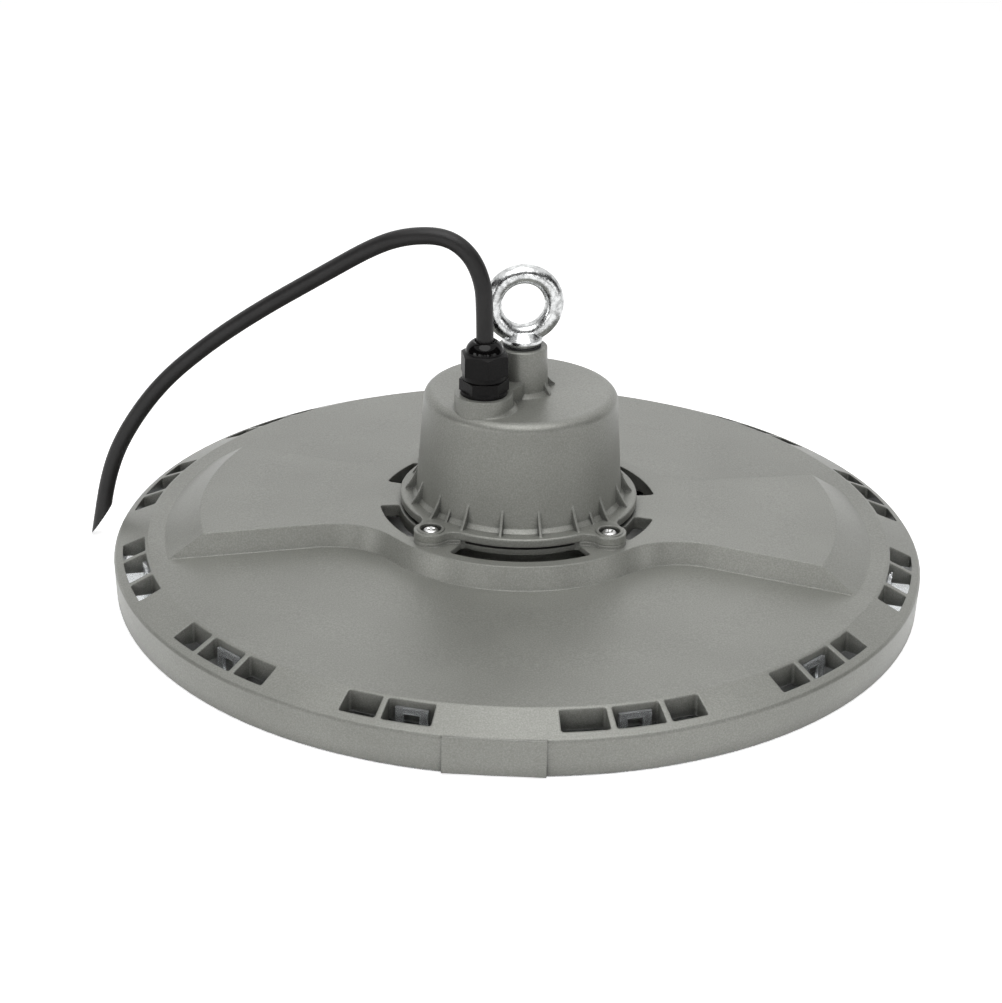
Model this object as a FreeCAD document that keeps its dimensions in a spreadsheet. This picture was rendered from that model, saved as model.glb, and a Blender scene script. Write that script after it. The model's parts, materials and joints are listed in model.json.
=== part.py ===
import FreeCAD, Part
import Sketcher
import math
import os

# High bay light: a shallow die-cast disc with a driver housing on its hub, hung from an
# eye bolt. Millimetres, +Z up, origin on the disc's axis at the surface it stands on,
# -Y to the front. Polar angles are in degrees from +X.

SIZES = {
    # disc casting, outer form
    "disc_radius": 190.0, "rim_draft": 0.6, "rim_foot": 1.0, "rim_top": 17.8,
    "land_width": 15.8, "field_edge": 24.3, "field_hub": 26.2, "skin": 2.6,
    "rim_wall": 2.8, "rim_edge": 1.2,
    # raised arms and hub ring
    "arm_turn": -5.0, "arm_flare": 15.15, "arm_offset": 11.3, "hub_radius": 71.3,
    "hub_blend": 38.0, "hub_top": 36.8, "arm_end_set": 24.6, "arm_end_top": 35.2,
    "bevel_set": 2.2, "bevel_foot": 20.7, "flank_lean": 0.3,
    # hub slots, collar and fins
    "slot_inner": 56.4, "slot_outer": 65.4, "slot_round": 2.0, "front_slot_inner": 54.0,
    "front_slot_outer": 66.2, "front_slot_half": 29.0, "side_slot_start": 12.0,
    "side_slot_end": 40.5, "skirt_depth": 6.0, "skirt_wall": 1.8, "collar_radius": 50.0,
    "collar_wall": 2.5, "fin_start": 72.0, "fin_thickness": 1.8, "fin_count": 24,
    # vents in the land, their cells and the annular wall under the field
    "vent_land": 4.2, "vent_width": 10.4, "vent_middle_half": 3.3, "vent_side_start": 4.07,
    "vent_side_end": 9.1, "vent_wide_end": 10.4, "vent_count": 12, "vent_first": 15.0,
    "vent_round": 1.1, "cell_depth": 6.0, "cell_wall": 0.75, "annulus_step": 1.0,
    "annulus_wall": 2.4, "annulus_foot": 3.4, "catch_reach": 2.2, "catch_top": 17.9,
    "catch_height": 3.6, "catch_width": 5.6, "catch_edge": 0.8,
    # flat pad on the rim
    "pad_angle": -93.65, "pad_half": 21.4, "pad_sink": 0.3,
    # lens
    "lens_margin": 1.0, "lens_flange": 2.4, "lens_plate": 4.2, "lens_thickness": 2.2,
    "lens_foot_step": 1.5, "lens_slope": 3.0, "lens_wall": 1.2, "dome_radius": 7.2,
    "dome_drop": 3.2, "dome_top_radius": 4.3, "dome_sink": 0.4, "clip_thickness": 1.7,
    "clip_width": 13.8, "clip_rail": 3.4, "clip_bar": 2.6, "clip_foot": 4.4,
    # light engine
    "tray_seat": 13.0, "tray_thickness": 2.0, "tray_gap": 0.4, "tray_bore": 6.0,
    "board_thickness": 1.6, "board_inner": 24.0, "board_margin": 14.0, "package_side": 5.0,
    "package_height": 0.7, "ring_one": 52.0, "ring_two": 90.0, "ring_edge": 28.0,
    "ring_one_count": 12, "ring_two_count": 18, "ring_three_count": 24,
    "tray_screw_set": 8.5, "tray_screw_count": 6, "tray_screw_angle": 5.0,
    "board_screw_circle": 70.0, "board_screw_count": 6, "board_screw_angle": 5.0,
    "boss_wall": 2.6,
    # driver housing
    "housing_seat": 38.7, "flange_radius": 55.7, "flange_top": 42.5, "strip_radius": 49.9,
    "strip_top": 44.4, "wall_foot_radius": 48.3, "wall_top_radius": 45.2, "roof": 93.6,
    "roof_round": 4.7, "housing_wall": 2.8, "roof_thickness": 3.0, "edge_break": 0.5,
    "rib_count": 18, "rib_reach": 4.0, "rib_height": 10.5, "rib_thickness": 1.3, "rib_toe": 0.6,
    "rib_curve": 40.0, "ear_rib_height": 6.4, "ear_rib_reach": 1.4,
    # ears and their screws
    "ear_circle": 60.9, "ear_angle": 48.2, "ear_radius": 7.7, "ear_land": 6.2,
    "ear_land_height": 0.6, "ear_recess_radius": 4.9, "ear_recess": 2.6,
    "ear_fillet": 7.5, "ear_neck_root": 2.8,
    "housing_gasket_inner": 46.0, "housing_gasket_width": 4.2,
    # eye bolt and its boss
    "boss_foot_radius": 12.3, "boss_top_radius": 11.6, "boss_top": 115.2, "flare_reach": 1.4,
    "flare_height": 2.0, "gusset_height": 7.4, "gusset_curve": 14.0, "gusset_front": -96.0,
    "gusset_front_foot": 16.0, "gusset_side": -29.0, "gusset_side_foot": 15.2, "gusset_rear": 24.0,
    "gusset_rear_foot": 17.0,
    "eye_ring_radius": 14.3, "eye_section": 4.4, "eye_lift": 19.2, "eye_collar_radius": 9.3,
    "eye_seat_radius": 8.3, "eye_collar_height": 3.2, "eye_neck_height": 6.4,
    "eye_thread_radius": 4.0, "eye_thread_length": 14.0, "eye_seal_thickness": 0.8,
    "eye_turn": 8.0,
    # cable gland and its pad
    "gland_x": -17.4, "gland_y": -24.5, "gland_pad_radius": 13.3, "gland_bridge": 16.0,
    "gland_seat": 101.2,
    "gland_thread_radius": 8.0, "gland_bore": 4.6, "gland_washer_radius": 10.7,
    "gland_washer_thickness": 1.0, "gland_hex": 19.6, "gland_body_height": 6.0,
    "gland_neck_radius": 8.6, "gland_neck_height": 9.0, "dome_nut_seat": 108.6,
    "dome_nut_flange": 2.3, "dome_nut_flange_radius": 9.9, "dome_nut_hex_top": 121.0,
    "dome_nut_top": 126.2, "dome_nut_dome_radius": 8.7,
    "locknut_height": 5.0, "gland_thread_length": 17.0,
    # supply cable
    "cable_radius": 3.9, "cable_entry_foot": 66.0, "cable_cut": 19.0,
    # driver inside the housing
    "driver_board_radius": 38.0, "driver_board_seat": 46.0, "driver_post_circle": 33.0,
    "driver_post_radius": 3.4, "driver_post_angle": 60.0, "transformer_length": 24.0,
    "transformer_width": 20.0, "transformer_height": 20.0, "transformer_x": 12.0,
    "transformer_y": -6.0, "capacitor_radius": 6.0, "capacitor_height": 24.0,
    "capacitor_x": 10.0, "capacitor_y": 17.0, "choke_radius": 7.0, "choke_wire": 3.0,
    "choke_x": -20.0, "choke_y": 8.0, "terminal_length": 16.0, "terminal_width": 10.0,
    "terminal_reach": 30.05, "lead_radius": 2.4, "lead_x": 30.0, "grommet_lip": 1.8,
    "grommet_wall": 1.6,
    # fasteners
    "m4_head": 3.5, "m4_head_height": 2.4, "m4_shank": 2.0, "m4_length": 12.0, "tray_screw_length": 8.0,
    "m3_head": 2.8, "m3_head_height": 1.7, "m3_shank": 1.5, "m3_length": 5.0,
    # clearances
    "slack": 0.2, "hole_slack": 0.1,
}

doc = FreeCAD.newDocument("high_bay_light")
sheet = doc.addObject("Spreadsheet::Sheet", "Sizes")
for row, (name, size) in enumerate(SIZES.items(), start=1):
    sheet.set(f"A{row}", name)
    sheet.set(f"B{row}", str(size))
    sheet.setAlias(f"B{row}", name)
doc.recompute()

V = FreeCAD.Vector
parts = {}


def bind(text):
    """Put the sheet's name before each alias in a formula."""
    words, word = [], ""
    for letter in text + " ":
        if letter.isalnum() or letter == "_":
            word += letter
            continue
        words.append("Sizes." + word if word in SIZES else word)
        words.append(letter)
        word = ""
    return "".join(words).strip()


def number(text):
    """Value of a formula in the sheet's aliases."""
    result = sheet.evalExpression(str(text))
    return float(getattr(result, "Value", result))


def tie(thing, target, text):
    """Bind one property of an object to a formula."""
    thing.setExpression(target, bind(str(text)))


# Sizes that follow from the driving ones.
rim_foot_radius = "(disc_radius - rim_draft)"
field_radius = "(disc_radius - land_width)"
bevel_radius = f"({field_radius} - bevel_set)"
arm_end_radius = f"({field_radius} - arm_end_set)"
vent_outer = "(disc_radius - vent_land)"
vent_inner = f"({vent_outer} - vent_width)"
annulus_radius = f"({vent_inner} - annulus_step)"
pad_face = "(disc_radius - pad_sink)"
tray_radius = f"({annulus_radius} - annulus_wall - tray_gap)"
tray_screw_circle = f"({tray_radius} - tray_screw_set)"
board_outer = f"({tray_radius} - board_margin)"
ring_three = f"({board_outer} - ring_edge)"
lens_radius = f"({rim_foot_radius} - lens_margin)"
lens_foot_radius = f"({annulus_radius} - annulus_wall - lens_foot_step)"
lens_inset = f"({lens_foot_radius} - lens_slope)"
clip_top = "(catch_top + slack + clip_bar)"


# ---- sketches -------------------------------------------------------------------------

def arc_between(start, end, radius):
    """Short arc; a positive radius turns left from start to end, a negative one right."""
    chord = end - start
    half = chord.Length / 2
    side = 1 if radius > 0 else -1
    left = V(-chord.y, chord.x, 0).normalize() * side
    centre = start + chord * 0.5 + left * math.sqrt(max(radius * radius - half * half, 0))
    first, last = (start, end) if side > 0 else (end, start)
    angles = [math.atan2(p.y - centre.y, p.x - centre.x) for p in (first, last)]
    return Part.ArcOfCircle(Part.Circle(centre, V(0, 0, 1), abs(radius)), *angles)


def draw_loop(sketch, corners):
    """Closed loop of lines and arcs; every corner is tied to two formulas."""
    points = [V(number(c[0]), number(c[1]), 0) for c in corners]
    first = sketch.GeometryCount
    ends = []
    for index, corner in enumerate(corners):
        start, end = points[index], points[(index + 1) % len(points)]
        if len(corner) > 2:
            radius = number(corner[2])
            edge = sketch.addGeometry(arc_between(start, end, radius), False)
            ends.append((1, 2) if radius > 0 else (2, 1))
            rule = sketch.addConstraint(Sketcher.Constraint("Radius", edge, abs(radius)))
            tie(sketch, f"Constraints[{rule}]", f"abs({corner[2]})")
        else:
            sketch.addGeometry(Part.LineSegment(start, end), False)
            ends.append((1, 2))
    for index, corner in enumerate(corners):
        edge, following = first + index, first + (index + 1) % len(corners)
        head, tail = ends[index][1], ends[(index + 1) % len(corners)][0]
        sketch.addConstraint(Sketcher.Constraint("Coincident", edge, head, following, tail))
        for kind, size, text in (("DistanceX", points[index].x, corner[0]),
                                 ("DistanceY", points[index].y, corner[1])):
            rule = sketch.addConstraint(Sketcher.Constraint(kind, -1, 1, edge, ends[index][0], size))
            tie(sketch, f"Constraints[{rule}]", text)


def draw_circle(sketch, x, y, radius):
    """Circle with its centre and radius tied to formulas."""
    circle = Part.Circle(V(number(x), number(y), 0), V(0, 0, 1), number(radius))
    edge = sketch.addGeometry(circle, False)
    for kind, size, text in (("DistanceX", number(x), x), ("DistanceY", number(y), y)):
        rule = sketch.addConstraint(Sketcher.Constraint(kind, -1, 1, edge, 3, size))
        tie(sketch, f"Constraints[{rule}]", text)
    rule = sketch.addConstraint(Sketcher.Constraint("Radius", edge, number(radius)))
    tie(sketch, f"Constraints[{rule}]", radius)


def polar_point(radius, angle):
    """Formulas of a point given by its radius and polar angle."""
    return f"({radius}) * cos(({angle}) * 1deg)", f"({radius}) * sin(({angle}) * 1deg)"


# ---- bodies ---------------------------------------------------------------------------

def new_body(name):
    body = doc.addObject("PartDesign::Body", name)
    body.AllowCompound = True
    return body


def new_sketch(body, plane, height="0", turn="0"):
    """Sketch on one of the body's own planes, lifted off it and turned by formulas."""
    sketch = body.newObject("Sketcher::SketchObject", body.Name + "_sketch")
    support = [p for p in body.Origin.OriginFeatures if p.Role == plane][0]
    sketch.AttachmentSupport = [(support, "")]
    sketch.MapMode = "FlatFace"
    sketch.AttachmentOffset = FreeCAD.Placement(V(0, 0, number(height)),
                                                FreeCAD.Rotation(V(0, 0, 1), number(turn)))
    tie(sketch, "AttachmentOffset.Base.z", height)
    tie(sketch, "AttachmentOffset.Rotation.Angle", turn)
    return sketch


def revolve(body, corners):
    """Turn a half section, drawn in radius and height, about Z."""
    sketch = new_sketch(body, "XZ_Plane")
    draw_loop(sketch, corners)
    feature = body.newObject("PartDesign::Revolution", body.Name + "_turned")
    feature.Profile = sketch
    feature.ReferenceAxis = (sketch, ["V_Axis"])
    feature.Angle = 360
    return feature


def pad(body, sketch, length, both_ways=False):
    feature = body.newObject("PartDesign::Pad", body.Name + "_pad")
    feature.Profile = sketch
    feature.SideType = "Symmetric" if both_ways else "One side"
    tie(feature, "Length", length)
    return feature


def ring_of(body, features, count, sweep="360"):
    """Repeat features about Z, evenly over the sweep."""
    pattern = body.newObject("PartDesign::PolarPattern", body.Name + "_ring")
    pattern.Originals = features
    pattern.Axis = (features[0].Profile[0], ["N_Axis"])
    tie(pattern, "Occurrences", count)
    tie(pattern, "Angle", sweep)
    body.Tip = pattern
    return pattern


def turned(name, corners):
    body = new_body(name)
    revolve(body, corners)
    return body


def plate(name, loops, foot, height, count=None, turn="0", sweep="360"):
    """Pad loops and circles drawn in plan, and repeat them about Z when a count is given."""
    body = new_body(name)
    sketch = new_sketch(body, "XY_Plane", foot, turn)
    for loop in loops:
        if isinstance(loop[0], str):
            draw_circle(sketch, *loop)
        else:
            draw_loop(sketch, loop)
    feature = pad(body, sketch, height)
    if count:
        ring_of(body, [feature], count, sweep)
    return body


def cylinder(name, radius, height, x="0", y="0", z="0"):
    solid = doc.addObject("Part::Cylinder", name)
    tie(solid, "Radius", radius)
    tie(solid, "Height", height)
    place(solid, x, y, z)
    return solid


def box(name, length, width, height, x="0", y="0", z="0"):
    """Box centred in plan on x, y."""
    solid = doc.addObject("Part::Box", name)
    tie(solid, "Length", length)
    tie(solid, "Width", width)
    tie(solid, "Height", height)
    place(solid, f"{x} - ({length}) / 2", f"{y} - ({width}) / 2", z)
    return solid


def hexagon(name, across, height, x="0", y="0", z="0", turn="0"):
    solid = doc.addObject("Part::Prism", name)
    solid.Polygon = 6
    tie(solid, "Circumradius", f"({across}) / sqrt(3)")
    tie(solid, "Height", height)
    place(solid, x, y, z)
    tie(solid, "Placement.Rotation.Angle", turn)
    return solid


def place(solid, x, y, z):
    for axis, text in zip("xyz", (x, y, z)):
        tie(solid, f"Placement.Base.{axis}", text)


def cut(name, base, *tools):
    result = doc.addObject("Part::Cut", name)
    result.Base = base
    result.Tool = tools[0] if len(tools) == 1 else fuse(name + "_tools", *tools)
    return result


def fuse(name, *shapes):
    result = doc.addObject("Part::MultiFuse", name)
    result.Shapes = list(shapes)
    return result


def common(name, *shapes):
    result = doc.addObject("Part::MultiCommon", name)
    result.Shapes = list(shapes)
    return result


def mirrored(name, source, normal):
    result = doc.addObject("Part::Mirroring", name)
    result.Source = source
    result.Normal = normal
    return result


def four_ways(name, source):
    """The source and its images across the XZ and YZ planes, as one object."""
    across = mirrored(name + "_across", source, V(1, 0, 0))
    pair = doc.addObject("Part::Compound", name + "_pair")
    pair.Links = [source, across]
    behind = mirrored(name + "_behind", pair, V(0, 1, 0))
    group = doc.addObject("Part::Compound", name + "_four")
    group.Links = [pair, behind]
    return group


def keep(node, solid):
    """Name a finished sub-part."""
    solid.Label = node
    parts[node] = solid
    return solid


# ---- plan shapes ----------------------------------------------------------------------

def sector(inner, outer, start, end, rounding=None):
    """Ring sector between two radii and two polar angles, its corners rounded if asked."""
    if rounding is None:
        return [polar_point(inner, start) , polar_point(outer, start) + (outer,),
                polar_point(outer, end), polar_point(inner, end) + (f"-({inner})",)]
    near = f"({rounding}) / ({inner}) * 180 / pi"
    far = f"({rounding}) / ({outer}) * 180 / pi"
    low, high = f"({inner}) + {rounding}", f"({outer}) - {rounding}"
    return [polar_point(low, start), polar_point(high, start) + (rounding,),
            polar_point(outer, f"{start} + {far}") + (outer,),
            polar_point(outer, f"{end} - {far}") + (rounding,),
            polar_point(high, end), polar_point(low, end) + (rounding,),
            polar_point(inner, f"{end} - {near}") + (f"-({inner})",),
            polar_point(inner, f"{start} + {near}") + (rounding,)]


def arms_outline(spread):
    """Two arms that flow into the hub ring, in plan, grown outwards by spread."""
    hub, blend = f"(hub_radius + {spread})", f"(hub_blend - ({spread}))"
    offset = f"(arm_offset + {spread})"
    flare, end = "(arm_flare * 1deg)", f"({bevel_radius} + 6)"
    reach = f"sqrt(({hub} + {blend})^2 - ({offset} + {blend})^2)"
    lean = f"(asin(({offset} + {blend}) / ({hub} + {blend})) + {flare})"
    tip = (end, f"({offset} + {end} * sin({flare})) / cos({flare})")
    waist = (f"{reach} * cos({flare}) - {offset} * sin({flare})",
             f"{reach} * sin({flare}) + {offset} * cos({flare})")
    shoulder = (f"{hub} * cos({lean})", f"{hub} * sin({lean})")

    def at(point, right, up):
        return f"{right} * ({point[0]})", f"{up} * ({point[1]})"

    bend, round_hub = (f"-1 * {blend}",), (hub,)
    return [at(tip, 1, -1), at(tip, 1, 1), at(waist, 1, 1) + bend, at(shoulder, 1, 1) + round_hub,
            at(shoulder, -1, 1) + bend, at(waist, -1, 1), at(tip, -1, 1), at(tip, -1, -1),
            at(waist, -1, -1) + bend, at(shoulder, -1, -1) + round_hub,
            at(shoulder, 1, -1) + bend, at(waist, 1, -1)]


# ---- disc casting ---------------------------------------------------------------------

def raised_form(name, inset, drop):
    """Arms and hub ring with leaning flanks under a conical top and bevelled ends."""
    foot = "(rim_top - 2)"
    flanks = new_body(name + "_flanks")
    low = new_sketch(flanks, "XY_Plane", foot, "arm_turn")
    draw_loop(low, arms_outline(f"((hub_top - {foot}) * flank_lean - {inset})"))
    high = new_sketch(flanks, "XY_Plane", "hub_top", "arm_turn")
    draw_loop(high, arms_outline(f"(0 - {inset})"))
    loft = flanks.newObject("PartDesign::AdditiveLoft", name + "_loft")
    loft.Profile = low
    loft.Sections = [high]
    loft.Ruled = True
    top = turned(name + "_top", [
        ("0", "rim_foot"), (bevel_radius, "rim_foot"), (bevel_radius, f"bevel_foot - {drop}"),
        (f"{arm_end_radius} - {inset} * 0.3", f"arm_end_top - {drop}"),
        ("slot_outer", f"hub_top - {drop}"), ("0", f"hub_top - {drop}")])
    return common(name, flanks, top)


def ear_form(name, foot, height):
    """Ear in plan: a round lobe whose neck flares into the flange through concave arcs."""
    x, y = polar_point("ear_circle", "ear_angle")
    lobe = cylinder(f"{name}_lobe", "ear_radius", height, x, y, foot)
    lobe_arm, hub_arm = "(ear_radius + ear_fillet)", "(flange_radius + ear_fillet)"
    spread = f"acos((ear_circle^2 + {hub_arm}^2 - {lobe_arm}^2) / (2 * ear_circle * {hub_arm}))"
    share = f"ear_radius / {lobe_arm}"
    root = (f"flange_radius * cos({spread})", f"flange_radius * sin({spread})")
    throat = (f"ear_circle + ({hub_arm} * cos({spread}) - ear_circle) * {share}",
              f"{hub_arm} * sin({spread}) * {share}")
    inside = f"{root[0]} - ear_neck_root"
    neck = plate(f"{name}_neck", [[
        (inside, f"-1 * {root[1]}"), (root[0], f"-1 * {root[1]}", "-1 * ear_fillet"),
        (throat[0], f"-1 * {throat[1]}"), throat + ("-1 * ear_fillet",), root,
        (inside, root[1])]], foot, height, None, "ear_angle")
    return fuse(name, lobe, neck)


def disc_casting():
    field = turned("field", [
        ("0", "rim_foot"), (rim_foot_radius, "rim_foot"),
        ("disc_radius", "rim_top - rim_edge"), ("disc_radius - rim_edge * 0.7", "rim_top"),
        (field_radius, "field_edge"), ("hub_radius", "field_hub"), ("0", "field_hub")])
    outer = fuse("outer_form", field, raised_form("raised", "0", "0"),
                 four_ways("ear_bosses", ear_form("ear_boss", "field_hub", "housing_seat - field_hub")))

    inner_rim = "disc_radius - rim_wall"
    void = turned("field_core", [
        ("0", "rim_foot - 5"), (inner_rim, "rim_foot - 5"), (inner_rim, "rim_top - skin * 0.7"),
        (field_radius, "field_edge - skin"), ("hub_radius", "field_hub - skin"),
        ("0", "field_hub - skin")])
    hollow = fuse("inner_form", void, raised_form("raised_core", "skin", "skin"))

    tall = "hub_top"
    fin_end, half_fin = f"{annulus_radius} - 1", "fin_thickness / 2"
    fins = plate("fins", [[("fin_start", f"0 - {half_fin}"), (fin_end, f"0 - {half_fin}"),
                           (fin_end, half_fin), ("fin_start", half_fin)]],
                 "tray_seat", tall, "fin_count")
    annulus = plate("annulus", [("0", "0", annulus_radius), ("0", "0", f"{annulus_radius} - annulus_wall")],
                    "annulus_foot", tall)
    collar = plate("collar", [("0", "0", "collar_radius"), ("0", "0", "collar_radius - collar_wall")],
                   "tray_seat", tall)
    side_slots = (("rising", "arm_turn + side_slot_start", "side_slot_end"),
                  ("falling", "0 - side_slot_end", "arm_turn - side_slot_start"))
    margin = "skirt_wall / slot_inner * 180 / pi"
    skirts = [plate(f"skirts_{name}", [sector("slot_inner - skirt_wall", "slot_outer + skirt_wall",
                                              f"{start} - {margin}", f"{end} + {margin}")],
                    "hub_top - skirt_depth", tall, "2") for name, start, end in side_slots]
    cells = plate("cells", [sector(f"{annulus_radius} - 1", "disc_radius - rim_wall / 2",
                                   "0 - vent_side_end - cell_wall", "vent_side_end + cell_wall")],
                  "field_edge - skin - cell_depth - 2", tall, "vent_count", "vent_first")
    wide_cell = plate("wide_cell", [sector(f"{annulus_radius} - 1", "disc_radius - rim_wall / 2",
                                           "0 - vent_wide_end - cell_wall", "0 - vent_side_end")],
                      "field_edge - skin - cell_depth - 2", tall, None, "vent_first - 90")
    x, y = polar_point(tray_screw_circle, "0")
    posts = plate("tray_posts", [(x, y, "m4_shank + boss_wall")], "tray_seat", tall,
                  "tray_screw_count", "tray_screw_angle")
    core = cut("die_core", hollow, fins, annulus, collar, *skirts, cells, wide_cell, posts)
    shell = cut("shell", outer, core)

    rim_pad = box("rim_pad", "rim_wall - pad_sink", "2 * pad_half", "rim_top - rim_foot")
    across = "pad_angle * 1deg"
    place(rim_pad, f"({inner_rim}) * cos({across}) + pad_half * sin({across})",
          f"({inner_rim}) * sin({across}) - pad_half * cos({across})", "rim_foot")
    tie(rim_pad, "Placement.Rotation.Angle", "pad_angle")
    catches = new_body("catches")
    wedge = new_sketch(catches, "XZ_Plane")
    draw_loop(wedge, [(f"{annulus_radius} - 1", "catch_top - catch_height"),
                      (f"{annulus_radius} + catch_reach", "catch_top - catch_edge"),
                      (f"{annulus_radius} + catch_reach", "catch_top"), (f"{annulus_radius} - 1", "catch_top")])
    tooth = pad(catches, wedge, "catch_width", both_ways=True)
    pattern = ring_of(catches, [tooth], "vent_count")
    pattern.Axis = ([p for p in catches.Origin.OriginFeatures if p.Role == "Z_Axis"][0], [""])
    tie(catches, "Placement.Rotation.Angle", "vent_first")
    driver_posts = plate("driver_posts", [polar_point("driver_post_circle", "0") + ("driver_post_radius",)],
                         "hub_top - skin / 2", "driver_board_seat - hub_top + skin / 2", "3", "driver_post_angle")
    solid = fuse("casting_solid", shell, rim_pad, catches, driver_posts)

    top, tip = "hub_top + 20", "rim_foot + 7"
    deep = f"{top} - ({tip})"
    middle = plate("vents_middle", [sector(vent_inner, vent_outer, "0 - vent_middle_half",
                                           "vent_middle_half", "vent_round")],
                   tip, deep, "vent_count", "vent_first")
    sides = []
    for name, start, end, turn in (
            ("vents_ahead", "vent_side_start", "vent_side_end", "vent_first - 90"),
            ("vents_behind", "0 - vent_side_end", "0 - vent_side_start", "vent_first - 60")):
        sides.append(plate(name, [sector(vent_inner, vent_outer, start, end, "vent_round")], tip, deep,
                           "vent_count - 1", turn, "360 / vent_count * (vent_count - 2)"))
    wide = plate("vent_wide", [sector(vent_inner, vent_outer, "0 - vent_wide_end",
                                      "0 - vent_side_start", "vent_round")],
                 tip, deep, None, "vent_first - 90")
    slots = [plate("front_slots", [sector("front_slot_inner", "front_slot_outer", "0 - front_slot_half",
                                          "front_slot_half", "slot_round")],
                   tip, deep, "2", "90")]
    for name, start, end in side_slots:
        slots.append(plate(f"slots_{name}", [sector("slot_inner", "slot_outer", start, end, "slot_round")],
                           tip, deep, "2"))
    x, y = polar_point("ear_circle", "ear_angle")
    ear_hole = cylinder("ear_hole", "m4_shank + hole_slack", "m4_length", x, y,
                        "flange_top + ear_land_height - ear_recess - m4_length - 0.5")
    tray_holes = plate("tray_holes", [polar_point(tray_screw_circle, "0") + ("m4_shank + hole_slack",)],
                       "0", "tray_seat - tray_thickness + tray_screw_length + 1", "tray_screw_count",
                       "tray_screw_angle")
    lead_hole = cylinder("lead_hole", "lead_radius + grommet_wall + slack", deep, "lead_x", "0", tip)
    driver_holes = plate("driver_holes",
                         [polar_point("driver_post_circle", "0") + ("m3_shank + hole_slack",)],
                         "driver_board_seat + board_thickness - m3_length - 1", "m3_length + 4", "3",
                         "driver_post_angle")
    beyond = box("pad_trim", "10", "2 * pad_half - 0.2", "60")
    place(beyond, f"{pad_face} * cos({across}) + (pad_half - 0.1) * sin({across})",
          f"{pad_face} * sin({across}) - (pad_half - 0.1) * cos({across})", "0")
    tie(beyond, "Placement.Rotation.Angle", "pad_angle")
    return cut("casting", solid, middle, *sides, wide, *slots, four_ways("ear_holes", ear_hole),
               tray_holes, lead_hole, driver_holes, beyond)


keep("disc_casting", disc_casting())


# ---- light engine under the disc ------------------------------------------------------

tray_foot = "(tray_seat - tray_thickness)"
board_foot = f"({tray_foot} - board_thickness)"


def drilled(name, disc, circles, foot, height):
    """Flat ring with circles of screw holes; each circle is (circle, count, angle, radius)."""
    holes = [plate(f"{name}_holes_{index}", [polar_point(circle, "0") + (radius,)], f"{foot} - 1",
                   f"{height} + 2", count, angle)
             for index, (circle, count, angle, radius) in enumerate(circles)]
    return cut(name, disc, *holes)


tray_disc = plate("tray_disc", [("0", "0", tray_radius), ("lead_x", "0", "tray_bore")], tray_foot,
                  "tray_thickness")
keep("led_tray", drilled("tray", tray_disc, [
    (tray_screw_circle, "tray_screw_count", "tray_screw_angle", "m4_shank + hole_slack"),
    ("board_screw_circle", "board_screw_count", "board_screw_angle", "m3_shank + hole_slack")],
    tray_foot, "tray_thickness"))

board_disc = plate("board_disc", [("0", "0", board_outer), ("0", "0", "board_inner")], board_foot,
                   "board_thickness")
keep("led_board", drilled("board", board_disc, [
    ("board_screw_circle", "board_screw_count", "board_screw_angle", "m3_shank + hole_slack")],
    board_foot, "board_thickness"))

rings = (("one", "ring_one", "ring_one_count"), ("two", "ring_two", "ring_two_count"),
         ("three", ring_three, "ring_three_count"))
packages = doc.addObject("Part::Compound", "packages")
square = "package_side / 2"
packages.Links = [plate(f"packages_{name}", [[
    (f"{ring} - {square}", f"0 - {square}"), (f"{ring} + {square}", f"0 - {square}"),
    (f"{ring} + {square}", square), (f"{ring} - {square}", square)]],
    f"{board_foot} - package_height", "package_height", count) for name, ring, count in rings]
keep("led_packages", packages)


def lens_domes(name, ring, count):
    """Ring of eight-sided optics that hang from the lens plate, one under each light source."""
    body = new_body(f"domes_{name}")
    sketch = new_sketch(body, "XY_Plane", "lens_plate - dome_drop")
    corners = [polar_point("dome_top_radius", str(45 * step)) for step in range(8)]
    draw_loop(sketch, [(f"{ring} + {x}", y) for x, y in corners])
    dome = pad(body, sketch, "dome_drop + dome_sink")
    tie(dome, "TaperAngle", "atan((dome_radius - dome_top_radius) / dome_drop)")
    ring_of(body, [dome], count)
    return body


def lens_cover():
    """Clear plate on a foot ring, with a dome over each light source and snap clips."""
    top = "(lens_plate + lens_thickness)"
    inside = "disc_radius - rim_wall - slack"
    form = turned("lens_form", [
        ("0", "lens_plate"), (lens_inset, "lens_plate"), (lens_foot_radius, "0"),
        (lens_radius, "0"), (lens_radius, "rim_foot"), (inside, "rim_foot"),
        (inside, "lens_flange"), (f"{lens_foot_radius} + lens_wall", "lens_flange"),
        (f"{lens_inset} + lens_wall", top), ("0", top)])
    clip_inner = f"({vent_inner} + slack)"
    clip_outer = f"({clip_inner} + clip_thickness)"
    half, window = "clip_width / 2", "(clip_width / 2 - clip_rail)"
    hoops = plate("clips", [[(clip_inner, f"0 - {half}"), (clip_outer, f"0 - {half}"),
                             (clip_outer, half), (clip_inner, half)]],
                  "lens_flange / 2", f"{clip_top} - lens_flange / 2", "vent_count", "vent_first")
    windows = plate("clip_windows", [[(f"{clip_inner} - 1", f"0 - {window}"),
                                      (f"{clip_outer} + 1", f"0 - {window}"),
                                      (f"{clip_outer} + 1", window), (f"{clip_inner} - 1", window)]],
                    "clip_foot", "catch_top + slack - clip_foot", "vent_count", "vent_first")
    return fuse("lens", form, cut("snap_clips", hoops, windows),
                *[lens_domes(*ring) for ring in rings])


keep("lens_cover", lens_cover())
keep("lens_gasket", plate("lens_gasket_form", [
    ("0", "0", annulus_radius), ("0", "0", f"{annulus_radius} - annulus_wall")],
    "lens_flange", "annulus_foot - lens_flange"))


# ---- fasteners ------------------------------------------------------------------------

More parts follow.
